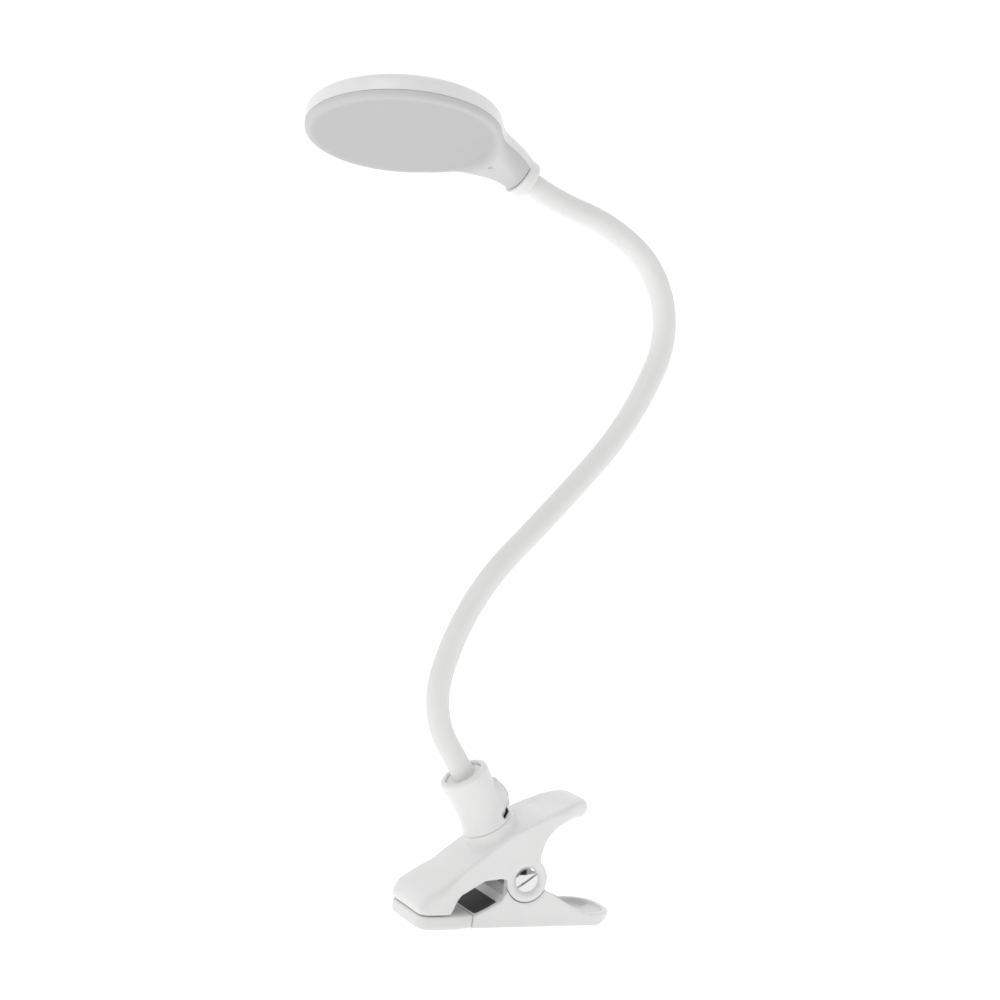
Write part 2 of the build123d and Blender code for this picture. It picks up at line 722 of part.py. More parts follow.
def make_head():
    outer_tail = tail_solid(0)
    inner_tail = tail_solid(-skin)
    below = seam_cutter()
    with BuildPart() as head_cover:
        with BuildSketch(head):
            Circle(head_r)
        extrude(amount=cover_h)
        fillet(head_cover.faces().sort_by(Axis(head.origin, head.z_dir))[-1].edges(), radius=shoulder)
        add(outer_tail - below)
        with BuildSketch(ring_frame.offset(-ring_len / 2)):
            Circle(ring_r)
        extrude(amount=ring_len)
        with BuildSketch(head.offset(-20)):
            Circle(head_r - skin)
        extrude(amount=20 + cover_h - skin, mode=Mode.SUBTRACT)
        add(inner_tail, mode=Mode.SUBTRACT)
        with BuildSketch(ring_frame.offset(-ring_len)):
            Circle(neck_r + 1.5)
        extrude(amount=ring_len + 3.5, mode=Mode.SUBTRACT)
        with BuildSketch(ring_frame):
            Circle(core_r + gap)
        extrude(amount=12, mode=Mode.SUBTRACT)
        # posts for the board's screws
        with BuildSketch(head.offset(2.2)):
            with PolarLocations(26.0, 3):
                Circle(2.4)
        extrude(amount=cover_h - 2.2 - 0.8)
        with BuildSketch(head.offset(2.2)):
            with PolarLocations(26.0, 3):
                Circle(0.9)
        extrude(amount=3.2, mode=Mode.SUBTRACT)
        # post for the tail screw
        with BuildSketch(Plane(origin=head.from_local_coords(Vector(45.0, 0, -5.0)), x_dir=head.x_dir,
                               z_dir=head.z_dir)):
            Circle(2.2)
        extrude(amount=8.4)
        with BuildSketch(Plane(origin=head.from_local_coords(Vector(45.0, 0, -5.0)), x_dir=head.x_dir,
                               z_dir=head.z_dir)):
            Circle(0.9)
        extrude(amount=5.5, mode=Mode.SUBTRACT)
    save(head_cover, "head_cover")
    with BuildPart() as head_diffuser:
        with BuildSketch(head):
            Circle(head_r)
        extrude(amount=-diffuser_h)
        fillet(head_diffuser.faces().sort_by(Axis(head.origin, head.z_dir))[0].edges(), radius=1.9)
        add(outer_tail & below)
        with BuildSketch(ring_frame.offset(-ring_len / 2)):
            Circle(ring_r)
        extrude(amount=ring_len, mode=Mode.SUBTRACT)
        with BuildSketch(head.offset(-diffuser_h + 1.4)):
            Circle(head_r - skin)
        extrude(amount=20, mode=Mode.SUBTRACT)
        add(inner_tail, mode=Mode.SUBTRACT)
        with BuildSketch(ring_frame.offset(-ring_len)):
            Circle(neck_r + 1.5)
        extrude(amount=ring_len + 3.5, mode=Mode.SUBTRACT)
        with BuildSketch(ring_frame):
            Circle(core_r + gap)
        extrude(amount=12, mode=Mode.SUBTRACT)
        with BuildSketch(Plane(origin=head.from_local_coords(Vector(45.0, 0, -20.0)), x_dir=head.x_dir,
                               z_dir=head.z_dir)):
            Circle(2.7)
        extrude(amount=20.0, mode=Mode.SUBTRACT)
    save(head_diffuser, "head_diffuser")
    with BuildPart() as head_ferrule:
        with BuildSketch(ring_frame.offset(-1.5)):
            Circle(neck_r + 1.5)
            Circle(core_r, mode=Mode.SUBTRACT)
        extrude(amount=5.0)
        with BuildSketch(ring_frame.offset(-2.5)):
            Circle(neck_r)
        extrude(amount=2.5, mode=Mode.SUBTRACT)
    save(head_ferrule, "head_ferrule")
    with BuildPart() as led_board:
        with BuildSketch(head.offset(1.0)):
            Circle(34.0)
            with PolarLocations(26.0, 3):
                Circle(0.9, mode=Mode.SUBTRACT)
        extrude(amount=1.2)
    save(led_board, "led_board")
    with BuildPart() as led_chips:
        with BuildSketch(head.offset(0.3)):
            with PolarLocations(31.0, 18):
                Rectangle(2.0, 2.8)
            with PolarLocations(18.0, 10):
                Rectangle(2.0, 2.8)
        extrude(amount=0.7)
    save(led_chips, "led_chips")
    with BuildPart() as board_screws:
        with BuildSketch(head.offset(1.0)):
            with PolarLocations(26.0, 3):
                Circle(0.9)
        extrude(amount=4.2)
        with BuildSketch(head.offset(0.1)):
            with PolarLocations(26.0, 3):
                Circle(1.7)
        extrude(amount=0.9)
    save(board_screws, "board_screws")
    with BuildPart() as tail_screw:
        with BuildSketch(Plane(origin=head.from_local_coords(Vector(45.0, 0, -7.0)), x_dir=head.x_dir,
                               z_dir=head.z_dir)):
            Circle(1.9)
        extrude(amount=2.0)
        with BuildSketch(Plane(origin=head.from_local_coords(Vector(45.0, 0, -5.0)), x_dir=head.x_dir,
                               z_dir=head.z_dir)):
            Circle(0.9)
        extrude(amount=5.0)
    save(tail_screw, "tail_screw")


lower = make_lower_jaw()
make_lower_grip_pad()
make_lower_jaw_pad(lower)
make_upper_jaw()
make_upper_pads()
make_jaw_cover()
make_pivot()
make_torsion_spring()
make_neck_socket()
make_collar_inside()
make_battery_cell()
for number in range(len(neck_lengths)):
    make_neck_length(number)
make_head()
print("neck joints", [(round(x, 1), round(z, 1), round(h, 1)) for x, z, h in neck])
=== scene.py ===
import bpy
import bmesh
import json
import math
from math import cos, sin, radians, pi, sqrt
import numpy as np
from mathutils import Matrix, Vector

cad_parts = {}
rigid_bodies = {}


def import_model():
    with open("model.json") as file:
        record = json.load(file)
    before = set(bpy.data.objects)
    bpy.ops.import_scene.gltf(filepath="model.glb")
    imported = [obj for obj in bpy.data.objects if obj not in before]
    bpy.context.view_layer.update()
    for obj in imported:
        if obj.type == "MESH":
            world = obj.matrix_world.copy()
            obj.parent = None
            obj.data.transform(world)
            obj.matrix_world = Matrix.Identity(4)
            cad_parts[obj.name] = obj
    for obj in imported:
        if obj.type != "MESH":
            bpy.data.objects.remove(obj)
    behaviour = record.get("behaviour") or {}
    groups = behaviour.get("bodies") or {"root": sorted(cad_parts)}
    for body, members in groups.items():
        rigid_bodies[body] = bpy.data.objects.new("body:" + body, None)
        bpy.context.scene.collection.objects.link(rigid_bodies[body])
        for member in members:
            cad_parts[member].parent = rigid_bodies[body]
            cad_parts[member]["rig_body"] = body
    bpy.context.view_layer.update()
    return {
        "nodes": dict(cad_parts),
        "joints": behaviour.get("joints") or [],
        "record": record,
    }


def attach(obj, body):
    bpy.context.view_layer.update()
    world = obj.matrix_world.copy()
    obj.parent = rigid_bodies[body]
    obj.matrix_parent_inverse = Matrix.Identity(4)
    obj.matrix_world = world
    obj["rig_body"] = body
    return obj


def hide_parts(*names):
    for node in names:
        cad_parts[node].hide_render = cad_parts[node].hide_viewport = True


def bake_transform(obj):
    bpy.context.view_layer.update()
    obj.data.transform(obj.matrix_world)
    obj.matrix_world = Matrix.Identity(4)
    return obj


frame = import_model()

BODY_OF = {n: o["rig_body"] for n, o in frame["nodes"].items()}
RECORD = frame["record"]
JOINTS = {j["name"]: j for j in frame["joints"]}
SLOT_OF = {s["node"]: s["material_slot"] for s in RECORD["subparts"]}
MM = 0.001


# ------------------------------------------------------------ materials
PLASTIC_IOR = 1.46
MOTTLE_SCALE = 55.0
GRAIN_SCALE = 900.0
STAIN_SCALE = 60.0
MARK_SCALE = 700.0
BUMP_DEPTH = 0.0001


def new_material(name):
    m = bpy.data.materials.new(name)
    m.use_nodes = True
    nt = m.node_tree
    for n in list(nt.nodes):
        nt.nodes.remove(n)
    out = nt.nodes.new("ShaderNodeOutputMaterial")
    sh = nt.nodes.new("ShaderNodeBsdfPrincipled")
    nt.links.new(sh.outputs["BSDF"], out.inputs["Surface"])
    return m, nt, sh


def noise(nt, scale, detail):
    tc = nt.nodes.new("ShaderNodeTexCoord")
    n = nt.nodes.new("ShaderNodeTexNoise")
    n.inputs["Scale"].default_value = scale
    n.inputs["Detail"].default_value = detail
    n.inputs["Roughness"].default_value = 0.5
    nt.links.new(tc.outputs["Object"], n.inputs["Vector"])
    return n


def ramp(nt, source, lo, hi, a=0.3, b=0.7):
    """Maps a 0..1 value to a colour between lo and hi."""
    r = nt.nodes.new("ShaderNodeValToRGB")
    r.color_ramp.elements[0].position = a
    r.color_ramp.elements[1].position = b
    r.color_ramp.elements[0].color = (*lo, 1)
    r.color_ramp.elements[1].color = (*hi, 1)
    nt.links.new(source, r.inputs["Fac"])
    return r


def spread(nt, source, lo, hi):
    """Maps a 0..1 value to a number between lo and hi."""
    r = nt.nodes.new("ShaderNodeMapRange")
    r.inputs["To Min"].default_value = lo
    r.inputs["To Max"].default_value = hi
    nt.links.new(source, r.inputs["Value"])
    return r.outputs["Result"]


def bump(nt, sh, source, strength):
    b = nt.nodes.new("ShaderNodeBump")
    b.inputs["Strength"].default_value = strength
    b.inputs["Distance"].default_value = BUMP_DEPTH
    nt.links.new(source, b.inputs["Height"])
    nt.links.new(b.outputs["Normal"], sh.inputs["Normal"])


def plastic(name, base, rough, coat=0.0, grain=0.02):
    """A moulded plastic or rubber: slight mottling, fine grain, uneven gloss."""
    m, nt, sh = new_material(name)
    big = noise(nt, MOTTLE_SCALE, 3.0)
    lo = tuple(c * 0.975 for c in base)
    col = ramp(nt, big.outputs["Fac"], lo, base)
    nt.links.new(col.outputs["Color"], sh.inputs["Base Color"])
    fine = noise(nt, GRAIN_SCALE, 3.0)
    gloss = spread(nt, fine.outputs["Fac"], rough - 0.04, rough + 0.06)
    nt.links.new(gloss, sh.inputs["Roughness"])
    sh.inputs["IOR"].default_value = PLASTIC_IOR
    sh.inputs["Coat Weight"].default_value = coat
    sh.inputs["Coat Roughness"].default_value = 0.18
    bump(nt, sh, fine.outputs["Fac"], grain)
    return m


def metal(name, base, rough, grain=0.05):
    """A bare metal: faint staining and fine marks that break up its reflection."""
    m, nt, sh = new_material(name)
    big = noise(nt, STAIN_SCALE, 3.0)
    lo = tuple(c * 0.9 for c in base)
    col = ramp(nt, big.outputs["Fac"], lo, base)
    nt.links.new(col.outputs["Color"], sh.inputs["Base Color"])
    sh.inputs["Metallic"].default_value = 1.0
    fine = noise(nt, MARK_SCALE, 3.0)
    gloss = spread(nt, fine.outputs["Fac"], rough * 0.7, rough * 1.3)
    nt.links.new(gloss, sh.inputs["Roughness"])
    bump(nt, sh, fine.outputs["Fac"], grain)
    return m


MAT = {
    "clip_plastic": plastic("clip_plastic", (0.80, 0.80, 0.795), 0.33, coat=0.12),
    "soft_pad": plastic("soft_pad", (0.78, 0.78, 0.77), 0.52, grain=0.04),
    "grip_lining": plastic("grip_lining", (0.045, 0.045, 0.047), 0.62, grain=0.08),
    "silicone": plastic("silicone", (0.78, 0.78, 0.77), 0.42, grain=0.03),
    "steel": metal("steel", (0.56, 0.56, 0.57), 0.28),
    "chrome": metal("chrome", (0.72, 0.72, 0.73), 0.07, grain=0.01),
    "diffuser": plastic("diffuser", (0.74, 0.74, 0.74), 0.55, grain=0.02),
    "button": plastic("button", (0.76, 0.76, 0.755), 0.36, coat=0.1),
    "circuit": plastic("circuit", (0.03, 0.17, 0.07), 0.4),
    "board_metal": plastic("board_metal", (0.8, 0.8, 0.8), 0.4),
    "light_chip": plastic("light_chip", (0.85, 0.68, 0.2), 0.3),
    "cell": metal("cell", (0.6, 0.62, 0.66), 0.4),
    "wire": plastic("wire", (0.08, 0.08, 0.08), 0.5),
}


def paint_diffuser_shade(slot, centre, inner, outer, flat, rim):
    """Paints shade into the diffuser's colour: the flat darker, the rim lighter, by distance from the
    disc's centre.
    """
    nt = MAT[slot].node_tree
    sh = nt.nodes["Principled BSDF"]
    tc = nt.nodes.new("ShaderNodeTexCoord")
    far = nt.nodes.new("ShaderNodeVectorMath")
    far.operation = "DISTANCE"
    far.inputs[1].default_value = centre
    nt.links.new(tc.outputs["Object"], far.inputs[0])
    span = nt.nodes.new("ShaderNodeMapRange")
    span.interpolation_type = "SMOOTHSTEP"
    span.inputs["From Min"].default_value = inner
    span.inputs["From Max"].default_value = outer
    nt.links.new(far.outputs["Value"], span.inputs["Value"])
    r = ramp(nt, span.outputs["Result"], (flat,) * 3, (rim,) * 3, 0.0, 1.0)
    tint = nt.nodes.new("ShaderNodeMix")
    tint.data_type = "RGBA"
    tint.blend_type = "MULTIPLY"
    tint.inputs["Factor"].default_value = 1.0
    old = sh.inputs["Base Color"].links[0].from_socket
    nt.links.new(old, tint.inputs[6])
    nt.links.new(r.outputs["Color"], tint.inputs[7])
    nt.links.new(tint.outputs[2], sh.inputs["Base Color"])


def paint(obj, slot):
    obj.data.materials.clear()
    obj.data.materials.append(MAT[slot])


def smooth(obj, angle=35):
    """Smooth shading with creases where faces meet at more than the angle."""
    me = obj.data
    bm = bmesh.new()
    bm.from_mesh(me)
    bmesh.ops.remove_doubles(bm, verts=bm.verts, dist=1e-7)
    for f in bm.faces:
        f.smooth = True
    limit = radians(angle)
    for e in bm.edges:
        e.smooth = len(e.link_faces) == 2 and e.calc_face_angle(0) < limit
    bm.to_mesh(me)
    bm.free()
    return obj


for node, obj in frame["nodes"].items():
    paint(obj, SLOT_OF[node])


# ------------------------------------------------------------ mesh helpers
def make_object(name, verts, faces, slot, crease):
    """A mesh object with its slot's material, smooth up to the crease angle."""
    me = bpy.data.meshes.new(name)
    me.from_pydata([tuple(v) for v in verts], [], faces)
    me.update()
    ob = bpy.data.objects.new(name, me)
    bpy.context.scene.collection.objects.link(ob)
    paint(ob, slot)
    smooth(ob, crease)
    return ob


def lathe(profile, origin, axis, side, steps):
    """Turns a closed outline of (radius, height) points about an axis."""
    axis = axis.normalized()
    side = (side - axis * side.dot(axis)).normalized()
    other = axis.cross(side)
    verts = []
    for i in range(steps):
        a = 2 * pi * i / steps
        for r, h in profile:
            verts.append(origin + (side * cos(a) + other * sin(a)) * r + axis * h)
    n = len(profile)
    faces = []
    for i in range(steps):
        k = (i + 1) % steps
        for j in range(n):
            m = (j + 1) % n
            faces.append((i * n + j, k * n + j, k * n + m, i * n + m))
    return verts, faces


def rounded(points, radii, steps=6):
    """A polygon's corners as arcs; a radius of 0 keeps the corner."""
    out = []
    count = len(points)
    for i, p in enumerate(points):
        r = radii[i]
        p = Vector(p).to_2d()
        if r <= 0:
            out.append(tuple(p))
            continue
        a = (Vector(points[i - 1]).to_2d() - p).normalized()
        b = (Vector(points[(i + 1) % count]).to_2d() - p).normalized()
        half = math.acos(max(-1, min(1, a.dot(b)))) / 2
        reach = r / math.tan(half)
        centre = p + (a + b).normalized() * (r / sin(half))
        u = p + a * reach - centre
        v = p + b * reach - centre
        turn = math.atan2(u.x * v.y - u.y * v.x, u.dot(v))
        for s in range(steps + 1):
            t = turn * s / steps
            out.append((centre.x + u.x * cos(t) - u.y * sin(t), centre.y + u.x * sin(t) + u.y * cos(t)))
    return out


def soft_copy(node, voxel=0.45, passes=8, worn=None, worn_passes=0, fill=None):
    """A copy of a CAD node with its hard edges worn round, shown in its place.

    worn(point) says how far, 0 to 1, the further passes reach at a point.
    fill is a side outline in mm and a half width, merged into the copy.
    """
    src = frame["nodes"][node]
    ob = bpy.data.objects.new(node + "_moulded", src.data.copy())
    bpy.context.scene.collection.objects.link(ob)
    if fill:
        outline, half = fill
        bm = bmesh.new()
        bm.from_mesh(ob.data)
        near = [bm.verts.new((x * MM, -half * MM, z * MM)) for x, z in outline]
        far = [bm.verts.new((x * MM, half * MM, z * MM)) for x, z in outline]
        bm.faces.new(near)
        bm.faces.new(list(reversed(far)))
        for i in range(len(outline)):
            k = (i + 1) % len(outline)
            bm.faces.new((near[k], near[i], far[i], far[k]))
        bm.to_mesh(ob.data)
        bm.free()
    rm = ob.modifiers.new("remesh", "REMESH")
    rm.mode = "VOXEL"
    rm.voxel_size = voxel * MM
    sm = ob.modifiers.new("smooth", "SMOOTH")
    sm.factor = 0.5
    sm.iterations = passes
    dg = bpy.context.evaluated_depsgraph_get()
    me = bpy.data.meshes.new_from_object(ob.evaluated_get(dg))
    ob.modifiers.clear()
    ob.data = me
    if worn:
        group = ob.vertex_groups.new(name="worn")
        levels = {}
        for v in me.vertices:
            level = round(10 * worn(v.co)) / 10
            if level > 0:
                levels.setdefault(level, []).append(v.index)
        for level, members in levels.items():
            group.add(members, level, "REPLACE")
        sm = ob.modifiers.new("worn", "SMOOTH")
        sm.factor = 0.5
        sm.iterations = worn_passes
        sm.vertex_group = "worn"
        dg = bpy.context.evaluated_depsgraph_get()
        me = bpy.data.meshes.new_from_object(ob.evaluated_get(dg))
        ob.modifiers.clear()
        ob.vertex_groups.clear()
        ob.data = me
    for p in me.polygons:
        p.use_smooth = True
    paint(ob, SLOT_OF[node])
    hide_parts(node)
    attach(ob, BODY_OF[node])
    return ob


# ------------------------------------------------------------ the neck's centreline
NECK_R = 5.0 * MM
FIRST_LENGTH = 16.0 * MM
FIRST_BEND = radians(3.1)
LAST_LENGTH = 31.8 * MM
LAST_BEND = radians(-13.6)
LEAN = radians(33)
NECK_JOINTS = [Vector(JOINTS["neck_bend_%d" % k]["pos_m"]) for k in range(1, 8)]


class Neck:
    """Straight and tangent-arc lengths through the joints, sampled finely."""

    def __init__(self):
        t = Vector((-sin(LEAN), 0, cos(LEAN)))
        half = FIRST_BEND / 2
        start = NECK_JOINTS[0] - self.turned(t, half) * (FIRST_LENGTH * sin(half) / half)
        self.lengths = []
        stops = [start] + NECK_JOINTS
        self.points = []
        s = 0.0
        for k in range(8):
            p = stops[k]
            if k < 7:
                chord = stops[k + 1] - p
                c = chord.normalized()
                bend = 2 * math.atan2(c.z * t.x - c.x * t.z, t.dot(c))
                length = chord.length
                if abs(bend) > 1e-6:
                    length = chord.length * (bend / 2) / sin(bend / 2)
            else:
                bend = LAST_BEND
                length = LAST_LENGTH
            steps = 60
            for i in range(steps + (k == 7)):
                f = i / steps
                turn = bend * f
                mid = turn / 2
                d = length * f * (sin(mid) / mid if abs(mid) > 1e-9 else 1)
                self.points.append((s + length * f, p + self.turned(t, mid) * d, self.turned(t, turn)))
            s += length
            self.lengths.append(length)
            t = self.turned(t, bend)
        self.s = np.array([q[0] for q in self.points])
        self.p = np.array([q[1] for q in self.points])
        self.t = np.array([q[2] for q in self.points])
        self.joint_s = np.cumsum(self.lengths)[:7]
        self.total = float(sum(self.lengths))

    @staticmethod
    def turned(v, angle):
        return Vector((v.x * cos(angle) - v.z * sin(angle), 0, v.x * sin(angle) + v.z * cos(angle)))

    def at(self, s):
        if s < 0:
            return Vector(self.p[0]) + Vector(self.t[0]) * s, Vector(self.t[0])
        if s > self.total:
            return Vector(self.p[-1]) + Vector(self.t[-1]) * (s - self.total), Vector(self.t[-1])
        p = Vector([np.interp(s, self.s, self.p[:, i]) for i in range(3)])
        t = Vector([np.interp(s, self.s, self.t[:, i]) for i in range(3)])
        return p, t.normalized()


NECK = Neck()


def make_neck_sleeve():
    """One smooth sleeve in seven lengths, each bending across one joint."""
    around = 48
    js = list(NECK.joint_s)
    cuts = [-2.2 * MM] + [(js[k] + js[k + 1]) / 2 for k in range(6)] + [NECK.total + 1.0 * MM]
    for k in range(7):
        a, b = cuts[k], cuts[k + 1]
        rings = max(8, int((b - a) / (0.9 * MM)))
        verts, faces = [], []
        for i in range(rings + 1):
            p, t = NECK.at(a + (b - a) * i / rings)
            across = Vector((0, 1, 0))
            other = t.cross(across)
            for j in range(around):
                w = 2 * pi * j / around
                verts.append(p + (across * cos(w) + other * sin(w)) * NECK_R)
        for i in range(rings):
            for j in range(around):
                m = (j + 1) % around
                low, high = i * around, (i + 1) * around
                faces.append((low + j, low + m, high + m, high + j))
        if k == 0:
            faces.append(tuple(range(around)))
        if k == 6:
            faces.append(tuple(rings * around + j for j in reversed(range(around))))
        ob = make_object("neck_skin_%d" % (k + 1), verts, faces, "silicone", 60)
        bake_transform(ob)
        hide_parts("neck_sleeve_%d" % (k + 1))
        if k == 6:
            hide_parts("neck_sleeve_8")


# ------------------------------------------------------------ the head
HEAD_R = 40.2
TAIL_END = 57.2
TAIL_HALF = 7.8
FLARE_R = 32.0
TAIL_DROP = 7.45
TAIL_SCREW_X = 42.0
HEAD_TWIST = radians(-19.7)
HEAD_DROOP = radians(-21.0)
HEAD_SLEW = radians(-4.6)


def head_frame():
    """The head's centre, back, across and up directions, as the CAD has them."""
    p, a = NECK.at(NECK.total)
    along = -a
    side = Vector((0, 1, 0))
    n0 = Vector((a.z, 0, -a.x))
    st, ct = sin(HEAD_TWIST), cos(HEAD_TWIST)
    sd, cd = sin(HEAD_DROOP), cos(HEAD_DROOP)
    ss, cs = sin(HEAD_SLEW), cos(HEAD_SLEW)
    back = along * (cd * cs) + side * (ct * ss + st * sd * cs) + n0 * (st * ss - ct * sd * cs)
    up = along * sd - side * (st * cd) + n0 * (ct * cd)
    centre = p - back * (TAIL_END * MM) + up * (TAIL_DROP * MM)
    return centre, back, up.cross(back), up


def step(x, a, b):
    t = np.clip((x - a) / (b - a), 0, 1)
    return t * t * (3 - 2 * t)


def half_width(x):
    """Half the head's width at x: disc, hollow flare, then the tail's sides."""
    yc = TAIL_HALF + FLARE_R
    xc = sqrt((HEAD_R + FLARE_R) ** 2 - yc ** 2)
    touch = xc * HEAD_R / (HEAD_R + FLARE_R)
    x = np.asarray(x, float)
    disc = np.sqrt(np.maximum(HEAD_R ** 2 - x ** 2, 0))
    flare = yc - np.sqrt(np.maximum(FLARE_R ** 2 - (x - xc) ** 2, 0))
    return np.where(x < touch, disc, np.where(x < xc, flare, TAIL_HALF))


def outline_distance(x, y):
    """Distance from points inside the outline to the outline, run on past the tail's end."""
    turn = 0.55
    round_x = HEAD_R * np.cos(np.linspace(pi, turn, 220))
    xs = np.concatenate([round_x, np.linspace(HEAD_R * cos(turn), 80, 240)])
    ys = half_width(xs)
    line = np.concatenate([np.stack([xs, ys], 1), np.stack([xs[::-1], -ys[::-1]], 1)])
    a = line[:-1]
    b = line[1:] - a
    q = np.stack([np.ravel(x), np.ravel(y)], 1)
    best = np.full(len(q), 1e9)
    for p0, d in zip(a, b):
        l2 = d @ d
        if l2 < 1e-12:
            continue
        t = np.clip(((q - p0) @ d) / l2, 0, 1)
        best = np.minimum(best, np.linalg.norm(q - p0 - t[:, None] * d, axis=1))
    return best.reshape(np.shape(x))


def head_height(x, y, top):
    """Height of the cover (top) or the depth of the diffuser at x, y."""
    d = outline_distance(x, y)
    k = step(x, 32.0, 58.0)
    seam = -TAIL_DROP * step(x, 33.0, 60.0)
    if top:
        total = 7.9 + (8.0 - 7.9) * k
        round_w = 4.2 + (TAIL_HALF - 4.2) * step(x, 30.0, 50.0)
        round_h = 3.9 + (8.0 - 3.9) * step(x, 34.0, 54.0)
    else:
        swell = step(x, 24.0, 46.0)
        total = 3.1 + (8.0 - 3.1) * swell * (0.55 + 0.45 * k)
        round_w = 1.9 + 3.1 * step(x, 26.0, 42.0) + (TAIL_HALF - 5.0) * step(x, 46.0, 56.0)
        round_h = 1.9 + (total - 1.9) * step(x, 30.0, 46.0)
    f = np.clip(d / round_w, 0, 1)
    h = total - round_h + round_h * np.sqrt(np.maximum(1 - (1 - f) ** 2, 0))
    return seam + h if top else seam - h


def head_grid(x_join, x_end, rows):
    """Plan points: a fan over the disc, then rows along the tail, as (points, faces, rim)."""
    w = float(half_width(x_join))
    a0 = math.atan2(w, x_join)
    tail_n = 40
    arc_n = 181
    arc = [(HEAD_R * cos(t), HEAD_R * sin(t)) for t in np.linspace(a0, 2 * pi - a0, arc_n)]
    ring = arc + [(x_join, -w * sin(pi / 2 * (1 - 2 * j / tail_n))) for j in range(1, tail_n)]
    m = len(ring)
    shares = [
        0.0, 0.12, 0.24, 0.36, 0.48, 0.58, 0.67, 0.74, 0.80, 0.85, 0.885,
        0.91, 0.93, 0.945, 0.958, 0.969, 0.978, 0.985, 0.991, 0.9955, 0.9985, 1.0,
    ]
    pts = [(0.0, 0.0)]
    for s in shares[1:]:
        pts += [(x * s, y * s) for x, y in ring]
    faces = [(0, 1 + i, 1 + (i + 1) % m) for i in range(m)]
    for r in range(1, len(shares) - 1):
        a, b = 1 + (r - 1) * m, 1 + r * m
        faces += [(a + i, b + i, b + (i + 1) % m, a + (i + 1) % m) for i in range(m)]
    outer = 1 + (len(shares) - 2) * m
    # the chord in order from y = -w to y = +w
    last = [outer + arc_n - 1] + [outer + arc_n + j for j in range(tail_n - 1)] + [outer]
    low_side, high_side = [last[0]], [last[-1]]
    for i in range(1, rows + 1):
        x = x_join + (x_end - x_join) * i / rows
        wx = float(half_width(x))
        now = []
        for j in range(tail_n + 1):
            now.append(len(pts))
            pts.append((x, -wx * sin(pi / 2 * (1 - 2 * j / tail_n))))
        for j in range(tail_n):
            faces.append((last[j], now[j], now[j + 1], last[j + 1]))
        low_side.append(now[0])
        high_side.append(now[-1])
        last = now
    rim = [outer + i for i in range(arc_n)] + low_side[1:] + last[1:-1] + high_side[:0:-1]
    return np.array(pts), faces, rim


def make_head():
    centre, back, across, up = head_frame()

    ring_p, ring_t = NECK.at(NECK.total)
    ring_across = (across - ring_t * ring_t.dot(across)).normalized()
    ring_up = (-ring_t).cross(ring_across)

    def world(x, y, z):
        """The tail's end swings round from the head's plane onto the neck's axis."""
        flat = centre + (back * x + across * y + up * z) * MM
        swing = float(step(x, 38.0, 56.0))
        bent = ring_p + (-ring_t * (x - TAIL_END) + ring_across * y + ring_up * (z + TAIL_DROP)) * MM
        return flat.lerp(bent, swing)

    for name, node, top, x_end in (("head_cover_moulded", "head_cover", True, 55.2),
                                   ("head_diffuser_moulded", "head_diffuser", False, 54.2)):
        pts, faces, rim = head_grid(33.0, x_end, 34)
        z = head_height(pts[:, 0], pts[:, 1], top)
        verts = [world(x, y, h) for (x, y), h in zip(pts, z)]
        count = len(verts)
        gap = 0.09 if top else -0.09
        edge = []
        for i in rim:
            x, y = pts[i]
            seam = -TAIL_DROP * float(step(x, 33.0, 60.0))
            edge.append(len(verts))
            verts.append(world(x, y, seam + gap))
        faces = list(faces)
        n = len(rim)
        for i in range(n):
            k = (i + 1) % n
            faces.append((rim[i], edge[i], edge[k], rim[k]))
        # turned-in lip so that the seam reads as a shadow line
        inner = []
        for i in rim:
            x, y = pts[i]
            seam = -TAIL_DROP * float(step(x, 33.0, 60.0))
            sx, sy = x * 0.97, y * 0.97
            inner.append(len(verts))
            verts.append(world(sx, sy, seam + gap))
        for i in range(n):
            k = (i + 1) % n
            faces.append((edge[i], inner[i], inner[k], edge[k]))
        if not top:
            faces = [tuple(reversed(f)) for f in faces]
        ob = make_object(name, verts, faces, SLOT_OF[node], 50)
        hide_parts(node)
        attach(ob, "head_body")
    # the small screw in the tail's underside
    z = float(head_height(np.array([TAIL_SCREW_X]), np.array([0.0]), False)[0])
    low = world(TAIL_SCREW_X, 0, z)
    down = -(world(TAIL_SCREW_X, 0, z + 1) - low).normalized()
    prof = [(0.02, 0.10), (0.9, 0.08), (1.5, 0.02), (1.75, -0.12), (1.75, -1.5), (0.02, -1.5)]
    verts, faces = lathe([(r * MM, h * MM) for r, h in prof], low, down, across, 40)
    screw = make_object("tail_screw_head", verts, faces, "steel", 40)
    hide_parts("tail_screw")
    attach(screw, "head_body")
    # the ring round the neck
    p, a = NECK.at(NECK.total)
    prof = rounded([(5.15, -2.3), (8.3, -2.5), (8.45, 2.6), (5.15, 2.6)], [0.3, 0.9, 0.5, 0.0], 5)
    verts, faces = lathe([(r * MM, h * MM) for r, h in prof], p, a, Vector((0, 1, 0)), 96)
    ring = make_object("head_ring", verts, faces, "clip_plastic", 40)
    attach(ring, "head_body")


PIVOT_Z = 20.5


def make_spring():
    src = frame["nodes"]["torsion_spring"]
    ob = bpy.data.objects.new("torsion_spring_wound", src.data.copy())
    bpy.context.scene.collection.objects.link(ob)
    paint(ob, "steel")
    smooth(ob, 60)
    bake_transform(ob)
    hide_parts("torsion_spring")


